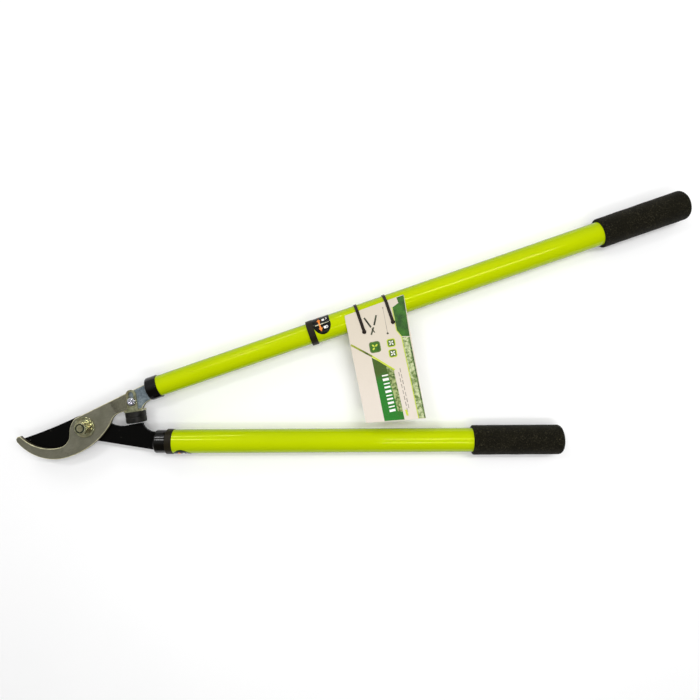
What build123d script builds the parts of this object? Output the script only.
from build123d import *
import math
import os

# Bypass loppers: a hook and a cutting blade on one pivot, each carried by a telescoping,
# twist-locked tube handle.
# Origin: centre of the outer face of the pivot bolt's head, on the pivot axis.
# +Z runs along the pivot from the bolt's head to its nut, +X along the lower handle to its grip.
# Distances "along" a lever start next to the pivot, on its tube's axis.

# ---------------------------------------------------------------- driving dimensions, mm

running = 0.05              # radial clearance of pieces that turn or slide on each other
snug = 0.02                 # clearance of pieces that are fixed together

# Plates and pivot
blade_thickness = 4.0
hook_thickness = 5.0
plate_gap = 0.05
bolt_radius = 4.0
bolt_head_height = 5.3
bolt_flats = 14.0
bolt_chamfer = 0.6
washer_radius = 12.2
washer_height = 1.6
washer_play = 0.2           # the washers' bores are this much wider than the bolt
spring_radius = 9.0
spring_height = 2.0
nut_height = 8.5
insert_radius = 5.4
insert_depth = 2.2
bolt_beyond_nut = 0.8

# Levers: direction of each tube in degrees, and how far its axis passes from the pivot
upper_angle = 18.8
upper_offset = 17.5
upper_advance = 3.5         # the upper tube starts this much further from the pivot
lower_offset = -18.3
upper_drawn_out = 186.8     # at rest the upper handle is drawn out and the lower one is in
lower_drawn_out = 0.0

# Tubes, along a lever with its handle pushed in
grip_end = 563.5
tube_start = 83.5
inner_end = 370.0
inner_radius = 12.4
inner_wall = 1.2
outer_start = 96.9
outer_radius = 14.2
outer_wall = 1.2

# Tangs, pinned in the tube ends, and the collars over them
tang_end = 127.5
tang_half_width = 9.75
hook_tang_left = 7.5        # the hook's tang is narrower on its left side
tang_pin_radius = 2.5
tang_pin_along = 90.5
collar_front = 81.5
collar_back = 95.3
collar_radius = 13.7
collar_wall = 2.0

# Twist lock
cone_front = 373.0
cone_back = 385.0
cone_large = 9.0
cone_small = 5.5
spindle_radius = 4.0
spindle_end = 402.0
expander_front = 375.0
expander_back = 400.0
slit_width = 1.5
slit_length = 18.0
lock_screw_radius = 2.0
lock_screw_depth = 14.0
lock_screw_head = 4.0
ring_radius = 14.8
ring_length = 8.0
ring_lip = 1.5
label_width = 20.5
label_skin = 0.3
label_sweep = 183.0
upper_label_start = -27.0   # degrees from the tube's crown to the left
lower_label_start = 140.0   # the lower handle has been twisted further

# Grip
grip_length = 106.0
grip_radius = 17.5
grip_end_wall = 4.0
plug_flange = 2.0
plug_gap = 0.5              # between the end plug and the grip's closed end

# Bumper and its sheet bracket on the hook plate
bracket_corner = (57.5, 20.0)
bracket_angle = 8.0
sheet = 2.0
flange_width = 21.0
flange_depth = 15.0
tab_width = 12.0
tab_length = 24.1
slot_width = 6.0
slot_from = 7.0
slot_to = 21.5
bracket_screw_radius = 2.5
bracket_nut_height = 4.0
bracket_nut_flats = 8.0
bumper_radius = 11.8
bumper_height = 13.2
bumper_screw_radius = 2.0
bumper_screw_depth = 9.0
countersink_radius = 3.75

# Hang tag in front of the upper outer tube
card = 0.5
card_gap = 0.2              # between the card and the tube's crown
tie_width = 3.5
tie_thickness = 1.0
tie_along = (157.2, 192.3)
tie_hole_side = -19.3
tie_hole_radius = 2.5
tie_head = 4.0
tie_head_width = 5.4

# ---------------------------------------------------------------- derived places

blade_floor = bolt_head_height
hook_floor = blade_floor + blade_thickness + plate_gap
hook_top = hook_floor + hook_thickness
spring_floor = hook_top + washer_height
nut_floor = spring_floor + spring_height
nut_top = nut_floor + nut_height
inner_bore = inner_radius - inner_wall
outer_bore = outer_radius - outer_wall
outer_end = grip_end - grip_end_wall - plug_flange - plug_gap
grip_front = grip_end - grip_length
shoulder = collar_front - 0.1           # where a tang's plate narrows, next to the collar
plug_radius = inner_bore - running
ring_front = outer_start - ring_lip
label_front = ring_front + ring_length


def lever_plane(angle, offset, advance, height):
    """Plane of a lever: local x along its tube, local y to the left, local z up."""
    along = Vector(1, 0, 0).rotate(Axis.Z, angle)
    left = Vector(0, 1, 0).rotate(Axis.Z, angle)
    foot = along * advance + left * offset + Vector(0, 0, height)
    return Plane(origin=foot, x_dir=along, z_dir=(0, 0, 1))


def drawn_out(lever, distance):
    """The same lever plane, moved outwards along its tube."""
    return Plane(lever.origin + lever.x_dir * distance, x_dir=lever.x_dir, z_dir=lever.z_dir)


def station(lever, along):
    """Cross-section of a tube: local x to the left, local y up, normal along the tube."""
    return Plane(lever.origin + lever.x_dir * along, x_dir=lever.y_dir, z_dir=lever.x_dir)


def on(lever, along, left):
    """The (X, Y) of a point given along and to the left of a lever's axis."""
    point = lever.origin + lever.x_dir * along + lever.y_dir * left
    return (point.X, point.Y)


def tube_axis(lever):
    return Axis(lever.origin, lever.x_dir)


def keep(builder, name):
    """Label a finished piece and write it to its own STEP file."""
    builder.part.label = name
    export_step(builder.part, f"parts/{name}.step")


upper = lever_plane(upper_angle, upper_offset, upper_advance, hook_floor + hook_thickness / 2)
lower = lever_plane(0, lower_offset, 0, blade_floor + blade_thickness / 2)

# On the hook's face: local x along the bracket's bend, local y away from the bumper
bracket = Plane(
    (*bracket_corner, hook_top),
    x_dir=Vector(1, 0, 0).rotate(Axis.Z, bracket_angle),
    z_dir=(0, 0, 1),
)
bracket_screw_place = on(bracket, 0, slot_from + slot_width / 2)
# On the flange's outer face, at its middle, looking along the bumper
bumper_seat = Plane(
    bracket.origin - bracket.y_dir * sheet + bracket.z_dir * (sheet - flange_depth / 2),
    x_dir=bracket.x_dir,
    z_dir=-bracket.y_dir,
)

os.makedirs("parts", exist_ok=True)

# ---------------------------------------------------------------- hook and blade


def hook_blade():
    """Hook plate: curved beak, pivot boss, bumper lug and tang in one."""
    tip = (-81.4, -14.0)
    beak_top = (-79.8, -11.3)
    beak = (-76.6, -10.4)
    throat = (-29.1, -23.8)
    throat_end = (-18.5, -11.5)
    boss_start = (-18.2, -6.8)
    boss_end = (-11.5, 10.3)
    tube_side = on(upper, shoulder, -12.5)
    lug_far = on(bracket, 10.2, 0)
    lug_near = on(bracket, -11.6, 0)
    neck_start = (41.6, 16.8)
    neck_end = (30.4, 5.0)
    belly = (-29.2, -37.4)
    chin = (-80.4, -17.1)
    rim_chamfer = 0.7
    with BuildPart() as hook:
        with BuildSketch(Plane.XY.offset(hook_floor)):
            with BuildLine():
                Polyline(tip, beak_top, beak)
                RadiusArc(beak, throat, -49.3)
                RadiusArc(throat, throat_end, -15.3)
                Line(throat_end, boss_start)
                RadiusArc(boss_start, boss_end, 22.7)
                Polyline(
                    boss_end,
                    on(upper, shoulder, hook_tang_left),
                    on(upper, tang_end, hook_tang_left),
                    on(upper, tang_end, -tang_half_width),
                    on(upper, shoulder, -tang_half_width),
                    tube_side,
                )
                RadiusArc(tube_side, lug_far, -16)
                Polyline(lug_far, lug_near, neck_start)
                RadiusArc(neck_start, neck_end, -15.6)
                RadiusArc(neck_end, belly, 84.3)
                RadiusArc(belly, chin, 57.3)
                Line(chin, tip)
            make_face()
            Circle(bolt_radius + running, mode=Mode.SUBTRACT)
            with Locations(bracket_screw_place):
                Circle(bracket_screw_radius + running, mode=Mode.SUBTRACT)
            with Locations(on(upper, tang_pin_along, 0)):
                Circle(tang_pin_radius + snug, mode=Mode.SUBTRACT)
        extrude(amount=hook_thickness)
        rim = hook.faces().sort_by(Axis.Z)[-1].outer_wire().edges()
        chamfer(rim, rim_chamfer)
    keep(hook, "hook_blade")


def cutting_blade():
    """Blade and its lever in one plate, bevelled on the side away from the hook."""
    tip = (-76.4, -15.4)
    spine_tip = (-75.0, -13.6)
    spine_middle = (-45.5, -3.0)
    spine_end = (-16.8, 9.2)
    boss_middle = (6.0, 14.0)
    boss_end = (28.0, 3.7)
    lug_near = (51.0, 2.0)
    lug_far = (66.0, 4.1)
    tube_side = on(lower, shoulder, 11.7)
    waist = (10.2, -16.2)
    heel_notch = (-10.0, -19.5)
    heel = (-22.0, -24.5)
    edge_middle = (-50.5, -27.6)
    bevel_width = 7.0
    edge_land = 0.4             # thickness left at the cutting edge
    bevel_height = blade_thickness - edge_land
    bevel_sweep = 72            # degrees, from the heel past the tip
    below = -1                  # the cutter starts this far under the blade
    with BuildPart() as blade:
        with BuildSketch(Plane.XY.offset(blade_floor)):
            with BuildLine():
                Line(tip, spine_tip)
                ThreePointArc(spine_tip, spine_middle, spine_end)
                ThreePointArc(spine_end, boss_middle, boss_end)
                RadiusArc(boss_end, lug_near, -28.3)
                Line(lug_near, lug_far)
                RadiusArc(lug_far, tube_side, -15)
                Polyline(
                    tube_side,
                    on(lower, shoulder, tang_half_width),
                    on(lower, tang_end, tang_half_width),
                    on(lower, tang_end, -tang_half_width),
                    on(lower, shoulder, -tang_half_width),
                    waist,
                    heel_notch,
                    heel,
                )
                edge = ThreePointArc(heel, edge_middle, tip)
            make_face()
            Circle(bolt_radius + running, mode=Mode.SUBTRACT)
            with Locations(on(lower, tang_pin_along, 0)):
                Circle(tang_pin_radius + snug, mode=Mode.SUBTRACT)
        extrude(amount=blade_thickness)
        # The bevel is part of a cone about the centre of the cutting edge's arc
        centre = Vector(edge.arc_center.X, edge.arc_center.Y, blade_floor)
        to_heel = (Vector(*heel, blade_floor) - centre).normalized()
        with BuildSketch(Plane(centre, x_dir=to_heel, z_dir=to_heel.cross(Vector(0, 0, 1)))):
            inside = edge.radius - bevel_width
            outside = edge.radius + bevel_width
            Polygon(
                (inside, below),
                (inside, 0),
                (outside, 2 * bevel_height),
                (outside, below),
                align=None,
            )
        revolve(axis=Axis(centre, (0, 0, -1)), revolution_arc=bevel_sweep, mode=Mode.SUBTRACT)
    keep(blade, "cutting_blade")


# ---------------------------------------------------------------- pivot


def pivot_bolt():
    """Hexagon-head bolt that the two plates turn on."""
    corner = bolt_flats / math.sqrt(3)
    corner_chamfer = 0.8
    shank_end = nut_top + bolt_beyond_nut
    with BuildPart() as bolt:
        with BuildSketch():
            RegularPolygon(corner, 6)
        extrude(amount=bolt_head_height)
        with BuildSketch():
            Circle(corner)
        extrude(amount=bolt_head_height, mode=Mode.INTERSECT)
        outer_ring = bolt.faces().sort_by(Axis.Z)[0].edges().filter_by(GeomType.LINE)
        chamfer(outer_ring, corner_chamfer)
        with BuildSketch(Plane.XY.offset(bolt_head_height)):
            Circle(bolt_radius)
        extrude(amount=shank_end - bolt_head_height)
        chamfer(bolt.edges().sort_by(Axis.Z)[-1], bolt_chamfer)
    keep(bolt, "pivot_bolt")


def pivot_washer():
    """Flat washer on the hook plate."""
    with BuildPart() as washer:
        with BuildSketch(Plane.XY.offset(hook_top)):
            Circle(washer_radius)
            Circle(bolt_radius + washer_play, mode=Mode.SUBTRACT)
        extrude(amount=washer_height)
        fillet(washer.faces().sort_by(Axis.Z)[-1].outer_wire().edges(), washer_height / 3)
    keep(washer, "pivot_washer")


def spring_washer():
    """Split spring washer, flattened between washer and nut."""
    split_width = 1.2
    split_slant = 20
    with BuildPart() as washer:
        with BuildSketch(Plane.XY.offset(spring_floor)):
            Circle(spring_radius)
            Circle(bolt_radius + washer_play, mode=Mode.SUBTRACT)
            with Locations((spring_radius, 0)):
                SlotOverall(2 * spring_radius, split_width, rotation=split_slant, mode=Mode.SUBTRACT)
        extrude(amount=spring_height)
    keep(washer, "spring_washer")


def pivot_nut():
    """Lock nut: hexagon with a round crimped crown that holds the nylon ring."""
    corner = bolt_flats / math.sqrt(3)
    corner_cut = 0.3            # how far the hexagon's corners are turned down
    hexagon_height = 6.6
    crown_step = 0.1            # the crown is this much slimmer than the flats
    crown_radius = bolt_flats / 2 - crown_step
    crown_rounding = 0.8
    with BuildPart() as nut:
        with BuildSketch(Plane.XY.offset(nut_floor)):
            RegularPolygon(corner, 6)
        extrude(amount=hexagon_height)
        with BuildSketch(Plane.XY.offset(nut_floor)):
            Circle(corner - corner_cut)
        extrude(amount=hexagon_height, mode=Mode.INTERSECT)
        with BuildSketch(Plane.XY.offset(nut_floor + hexagon_height)):
            Circle(crown_radius)
        extrude(amount=nut_height - hexagon_height)
        fillet(nut.faces().sort_by(Axis.Z)[-1].edges(), crown_rounding)
        with Locations((0, 0, nut_top)):
            CounterBoreHole(bolt_radius + snug, insert_radius, insert_depth, depth=nut_height)
    keep(nut, "pivot_nut")


def nut_insert():
    """Nylon ring in the nut's crown."""
    below_crown = 0.3
    with BuildPart() as ring:
        with BuildSketch(Plane.XY.offset(nut_top - insert_depth)):
            Circle(insert_radius - snug)
            Circle(bolt_radius + snug, mode=Mode.SUBTRACT)
        extrude(amount=insert_depth - below_crown)
    keep(ring, "nut_insert")


# ---------------------------------------------------------------- bumper


def bumper_bracket():
    """Sheet angle: slotted tab on the hook's face, flange across the hook's lug."""
    with BuildPart() as angle:
        with BuildSketch(bracket):
            with Locations((0, (tab_length - tab_width / 2 - sheet) / 2)):
                Rectangle(tab_width, tab_length - tab_width / 2 + sheet)
            with Locations((0, tab_length - tab_width / 2)):
                Circle(tab_width / 2)
        extrude(amount=sheet)
        with BuildSketch(bumper_seat):
            Rectangle(flange_width, flange_depth)
        extrude(amount=-sheet)
        with BuildSketch(bracket):
            with Locations((0, (slot_from + slot_to) / 2)):
                SlotOverall(slot_to - slot_from, slot_width, rotation=90)
        extrude(amount=sheet, mode=Mode.SUBTRACT)
        with Locations(Plane(bumper_seat.origin + bracket.y_dir * sheet, z_dir=bracket.y_dir)):
            CounterSinkHole(bumper_screw_radius + running, countersink_radius, depth=sheet)
    keep(angle, "bumper_bracket")


def bracket_screw():
    """Pan-head screw that clamps the bracket's tab to the hook plate."""
    head_radius = 5.0
    head_height = 2.8
    head_rounding = 1.6
    cross_length = 4.6
    cross_width = 1.1
    cross_depth = 1.6
    cross_turn = 25
    beyond_nut = 1.0
    head_floor = hook_top + sheet
    with BuildPart() as screw:
        with BuildSketch(Plane((*bracket_screw_place, head_floor))):
            Circle(head_radius)
        extrude(amount=head_height)
        fillet(screw.edges().sort_by(Axis.Z)[-1], head_rounding)
        with BuildSketch(Plane((*bracket_screw_place, head_floor + head_height))):
            Rectangle(cross_length, cross_width, rotation=cross_turn)
            Rectangle(cross_width, cross_length, rotation=cross_turn)
        extrude(amount=-cross_depth, mode=Mode.SUBTRACT)
        with BuildSketch(Plane((*bracket_screw_place, hook_floor - bracket_nut_height - beyond_nut))):
            Circle(bracket_screw_radius)
        extrude(until=Until.NEXT)
    keep(screw, "bracket_screw")


def bracket_nut():
    """Hexagon nut of the bracket screw, under the hook plate."""
    with BuildPart() as nut:
        with BuildSketch(Plane((*bracket_screw_place, hook_floor - bracket_nut_height))):
            RegularPolygon(bracket_nut_flats / math.sqrt(3), 6)
            Circle(bracket_screw_radius + snug, mode=Mode.SUBTRACT)
        extrude(amount=bracket_nut_height - snug)
    keep(nut, "bracket_nut")


def bumper():
    """Rubber bumper on the flange, bored for its screw."""
    free_end_rounding = 1.5
    seat_rounding = 0.5
    below_screw = 0.2
    along = Axis(bumper_seat.origin, bumper_seat.z_dir)
    with BuildPart() as rubber:
        with BuildSketch(bumper_seat):
            Circle(bumper_radius)
        extrude(amount=bumper_height)
        fillet(rubber.edges().sort_by(along)[-1], free_end_rounding)
        fillet(rubber.edges().sort_by(along)[0], seat_rounding)
        with BuildSketch(bumper_seat):
            Circle(bumper_screw_radius + running)
        extrude(amount=bumper_screw_depth + below_screw, mode=Mode.SUBTRACT)
    keep(rubber, "bumper")


def bumper_screw():
    """Countersunk screw from the flange into the rubber."""
    inner_face = bumper_seat.offset(-sheet)
    with BuildPart() as screw:
        with BuildSketch(inner_face):
            Circle(countersink_radius - running)
        extrude(amount=countersink_radius - bumper_screw_radius, taper=45)
        with BuildSketch(inner_face):
            Circle(bumper_screw_radius)
        extrude(amount=sheet + bumper_screw_depth)
    keep(screw, "bumper_screw")


# ---------------------------------------------------------------- levers and handles
# Each of these makes one piece for the side named, in the plane of that side's lever or handle.


def inner_tube(side, lever):
    """Inner tube of the handle, pinned to the tang."""
    with BuildPart() as tube:
        with BuildSketch(station(lever, tube_start)):
            Circle(inner_radius)
            Circle(inner_bore, mode=Mode.SUBTRACT)
        extrude(amount=inner_end - tube_start)
        extrude(pin_hole(lever), amount=inner_radius, both=True, mode=Mode.SUBTRACT)
    keep(tube, f"{side}_inner_tube")


def tang_slot(section, thickness, tang_left):
    """Cross-section of the slot that a tang fills."""
    with BuildSketch(section) as slot:
        with Locations(((tang_left - tang_half_width) / 2, 0)):
            Rectangle(tang_half_width + tang_left + 2 * snug, thickness + 2 * snug)
    return slot.sketch


def pin_hole(lever):
    """Cross-section of the tang pin's hole, in the plane of the lever."""
    with BuildSketch(drawn_out(lever, tang_pin_along)) as hole:
        Circle(tang_pin_radius + snug)
    return hole.sketch


def head_collar(side, lever, thickness, tang_left):
    """Plastic cap on the tube's end, slotted for the tang."""
    front_rounding = 2.5
    back_rounding = 0.6
    with BuildPart() as collar:
        with BuildSketch(station(lever, collar_front)):
            Circle(collar_radius)
        extrude(amount=collar_back - collar_front)
        fillet(collar.edges().sort_by(tube_axis(lever))[0], front_rounding)
        fillet(collar.edges().sort_by(tube_axis(lever))[-1], back_rounding)
        with BuildSketch(station(lever, collar_front + collar_wall)):
            Circle(inner_radius + snug)
        extrude(amount=collar_back - collar_front, mode=Mode.SUBTRACT)
        slot = tang_slot(station(lever, collar_front), thickness, tang_left)
        extrude(slot, amount=collar_wall, mode=Mode.SUBTRACT)
    keep(collar, f"{side}_head_collar")


def tang_plug(side, lever, thickness, tang_left):
    """Solid plug that fills the tube round the tang."""
    set_back = 0.5              # from the tube's end
    behind_tang = 3.0
    front = tube_start + set_back
    back = tang_end + behind_tang
    with BuildPart() as plug:
        with BuildSketch(station(lever, front)):
            Circle(plug_radius)
        extrude(amount=back - front)
        slot = tang_slot(station(lever, front), thickness, tang_left)
        extrude(slot, amount=tang_end + snug - front, mode=Mode.SUBTRACT)
        extrude(pin_hole(lever), amount=inner_radius, both=True, mode=Mode.SUBTRACT)
    keep(plug, f"{side}_tang_plug")


def tang_pin(side, lever):
    """Pin through tube, plug and tang, just short of the collar."""
    sunk = 0.5                  # below the tube's surface at each end
    half_length = inner_radius - sunk
    with BuildPart() as pin:
        with BuildSketch(drawn_out(lever, tang_pin_along)):
            Circle(tang_pin_radius)
        extrude(amount=half_length, both=True)
    keep(pin, f"{side}_tang_pin")


def lock_plug(side, lever):
    """Plug in the inner tube's far end, with the lock's cone and spindle."""
    body_length = 22.0
    flange_step = 0.2           # the flange stays this much inside the inner tube's surface
    body_front = inner_end - body_length
    flange = inner_radius - flange_step
    with BuildPart() as plug:
        with BuildSketch(lever):
            Polygon(
                (body_front, 0),
                (body_front, plug_radius),
                (inner_end, plug_radius),
                (inner_end, flange),
                (cone_front, flange),
                (cone_front, cone_large),
                (cone_back, cone_small),
                (cone_back, spindle_radius),
                (spindle_end, spindle_radius),
                (spindle_end, 0),
                align=None,
            )
        revolve(axis=tube_axis(lever))
        with BuildSketch(station(lever, spindle_end)):
            Circle(lock_screw_radius + snug)
        extrude(amount=-lock_screw_depth, mode=Mode.SUBTRACT)
    keep(plug, f"{side}_lock_plug")


def lock_expander(side, lever):
    """Split sleeve: twisting the handle draws it along the cone and jams it in the outer tube."""
    cone_slope = (cone_large - cone_small) / (cone_back - cone_front)
    cone_play = 0.1
    step_behind_cone = 0.5
    mouth = cone_large - (expander_front - cone_front) * cone_slope + cone_play
    throat = cone_small + cone_play
    bore = spindle_radius + running
    bore_front = cone_back + step_behind_cone
    surface = outer_bore - running
    edge = 0.8
    with BuildPart() as sleeve:
        with BuildSketch(lever):
            Polygon(
                (expander_front, mouth),
                (expander_front, surface - edge),
                (expander_front + edge, surface),
                (expander_back - edge, surface),
                (expander_back, surface - edge),
                (expander_back, bore),
                (bore_front, bore),
                (bore_front, throat),
                (cone_back, throat),
                align=None,
            )
        revolve(axis=tube_axis(lever))
        with BuildSketch(station(lever, expander_front)):
            Rectangle(2 * outer_radius, slit_width)
            Rectangle(slit_width, 2 * outer_radius)
        extrude(amount=slit_length, mode=Mode.SUBTRACT)
    keep(sleeve, f"{side}_lock_expander")


def lock_screw(side, lever):
    """Washer-head screw that keeps the expander on its spindle."""
    short_of_bore = 1.0
    washer_side = 8.0
    washer_thickness = 1.2
    point = spindle_end - lock_screw_depth + short_of_bore
    head_end = spindle_end + lock_screw_head
    washer_end = spindle_end + washer_thickness
    head_radius = 4.4
    cross_length = 4.0
    cross_width = 1.0
    cross_depth = 1.5
    with BuildPart() as screw:
        with BuildSketch(lever):
            Polygon(
                (point, 0),
                (point, lock_screw_radius),
                (spindle_end, lock_screw_radius),
                (spindle_end, washer_side),
                (washer_end, washer_side),
                (washer_end, head_radius),
                (head_end, head_radius),
                (head_end, 0),
                align=None,
            )
        revolve(axis=tube_axis(lever))
        with BuildSketch(station(lever, head_end)):
            Rectangle(cross_length, cross_width)
            Rectangle(cross_width, cross_length)
        extrude(amount=-cross_depth, mode=Mode.SUBTRACT)
    keep(screw, f"{side}_lock_screw")


def outer_tube(side, handle):
    """Outer tube of the handle."""
    with BuildPart() as tube:
        with BuildSketch(station(handle, outer_start)):
            Circle(outer_radius)
            Circle(outer_bore, mode=Mode.SUBTRACT)
        extrude(amount=outer_end - outer_start)
    keep(tube, f"{side}_outer_tube")


def lock_collar(side, handle):
    """Ring over the outer tube's front end, with a lip that guides the inner tube."""
    edge_rounding = 0.5
    lip_play = 0.08
    lip_bore = inner_radius + lip_play
    with BuildPart() as ring:
        with BuildSketch(station(handle, ring_front)):
            Circle(ring_radius)
        extrude(amount=ring_length)
        fillet(ring.edges().filter_by(GeomType.CIRCLE), edge_rounding)
        with BuildSketch(station(handle, ring_front)):
            Circle(lip_bore)
        extrude(amount=ring_length, mode=Mode.SUBTRACT)
        with BuildSketch(station(handle, outer_start)):
            Circle(outer_radius + snug)
        extrude(amount=ring_length, mode=Mode.SUBTRACT)
    keep(ring, f"{side}_lock_collar")


def radial_plane(handle, along, from_crown):
    """Plane on the tube's axis that looks outwards, from_crown degrees left of the crown."""
    outwards = handle.z_dir.rotate(Axis((0, 0, 0), handle.x_dir), -from_crown)
    return Plane(handle.origin + handle.x_dir * along, x_dir=handle.x_dir, z_dir=outwards)


def twist_label(side, handle, from_crown):
    """Wrapped label behind the ring, half-way round the tube, with round ends.

    from_crown is the angle at which it starts, counted from the tube's crown to the left.
    """
    middle = label_front + label_width / 2
    inside = outer_radius + snug
    outside = inside + label_skin
    round_end = math.degrees(math.asin(label_width / 2 / outside))
    first = radial_plane(handle, middle, from_crown + round_end)
    last = radial_plane(handle, middle, from_crown + label_sweep - round_end)
    with BuildPart() as label:
        with BuildSketch(Plane(first.origin, x_dir=first.x_dir, z_dir=-first.y_dir)):
            with Locations((0, outside)):
                Rectangle(label_width, 2 * outside)
        revolve(axis=Axis(handle.origin, -handle.x_dir), revolution_arc=label_sweep - 2 * round_end)
        with BuildSketch(first, last):
            Circle(label_width / 2)
        extrude(amount=2 * outside)
        with BuildSketch(station(handle, label_front)):
            Circle(outside)
            Circle(inside, mode=Mode.SUBTRACT)
        extrude(amount=label_width, mode=Mode.INTERSECT)
    keep(label, f"{side}_twist_label")


def grip(side, handle):
    """Foam sleeve with a closed, rounded end."""
    front_chamfer = 2.0
    end_rounding = 4.0
    with BuildPart() as foam:
        with BuildSketch(station(handle, grip_front)):
            Circle(grip_radius)
        extrude(amount=grip_length)
        chamfer(foam.edges().sort_by(tube_axis(handle))[0], front_chamfer)
        fillet(foam.edges().sort_by(tube_axis(handle))[-1], end_rounding)
        with BuildSketch(station(handle, grip_front)):
            Circle(outer_radius + snug)
        extrude(amount=grip_length - grip_end_wall, mode=Mode.SUBTRACT)
    keep(foam, f"{side}_grip")


def end_plug(side, handle):
    """Plug in the outer tube's end, inside the grip."""
    inside_tube = 15.0
    with BuildPart() as plug:
        with BuildSketch(station(handle, outer_end - inside_tube)):
            Circle(outer_bore - snug)
        extrude(amount=inside_tube)
        with BuildSketch(station(handle, outer_end)):
            Circle(outer_radius)
        extrude(amount=plug_flange)
    keep(plug, f"{side}_end_plug")


# ---------------------------------------------------------------- hang tag


def hang_tag(handle):
    """Printed card, tied at two holes so that it lies in front of the tube."""
    corners = ((141.6, 5.6), (124.8, -119.2), (191.7, -136.8), (214.4, 6.7))
    back = handle.offset(outer_radius + card_gap)
    with BuildPart() as tag:
        with BuildSketch(back):
            Polygon(*corners, align=None)
            with Locations(*[(place, tie_hole_side) for place in tie_along]):
                Circle(tie_hole_radius, mode=Mode.SUBTRACT)
        extrude(amount=card)
    keep(tag, "hang_tag")


def cable_ties(handle):
    """Two ties, each round the tube and through one hole of the card, locked at the back."""
    card_middle = outer_radius + card_gap + card / 2
    nose = card / 2 + snug
    behind_nose = 1.8           # from a hole's centre to the strap's bend in it
    near_loop = 6.2             # the strap's bend over the card's upper edge
    far_loop = tie_hole_side + behind_nose
    with BuildPart() as ties:
        for place in tie_along:
            with BuildSketch(station(handle, place)):
                with BuildLine():
                    CenterArc((0, 0), outer_radius + snug, 0, 360)
                    CenterArc((far_loop, card_middle), nose, 0, 360)
                    CenterArc((near_loop, card_middle), nose, 0, 360)
                inside = make_hull()
                offset(inside, amount=tie_thickness)
                add(inside, mode=Mode.SUBTRACT)
            extrude(amount=tie_width / 2, both=True)
            with BuildSketch(station(handle, place)):
                with Locations((0, -outer_radius - tie_head / 2 - tie_thickness / 2)):
                    Rectangle(tie_head_width, tie_head)
            extrude(amount=tie_head_width / 2, both=True)
    keep(ties, "cable_ties")


hook_blade()
cutting_blade()
pivot_bolt()
pivot_washer()
spring_washer()
pivot_nut()
nut_insert()
bumper_bracket()
bracket_screw()
bracket_nut()
bumper()
bumper_screw()

for side, lever, thickness, tang_left, distance, label_start in (
    ("upper", upper, hook_thickness, hook_tang_left, upper_drawn_out, upper_label_start),
    ("lower", lower, blade_thickness, tang_half_width, lower_drawn_out, lower_label_start),
):
    inner_tube(side, lever)
    head_collar(side, lever, thickness, tang_left)
    tang_plug(side, lever, thickness, tang_left)
    tang_pin(side, lever)
    lock_plug(side, lever)
    lock_expander(side, lever)
    lock_screw(side, lever)
    handle = drawn_out(lever, distance)
    outer_tube(side, handle)
    lock_collar(side, handle)
    twist_label(side, handle, label_start)
    grip(side, handle)
    end_plug(side, handle)

hang_tag(drawn_out(upper, upper_drawn_out))
cable_ties(drawn_out(upper, upper_drawn_out))
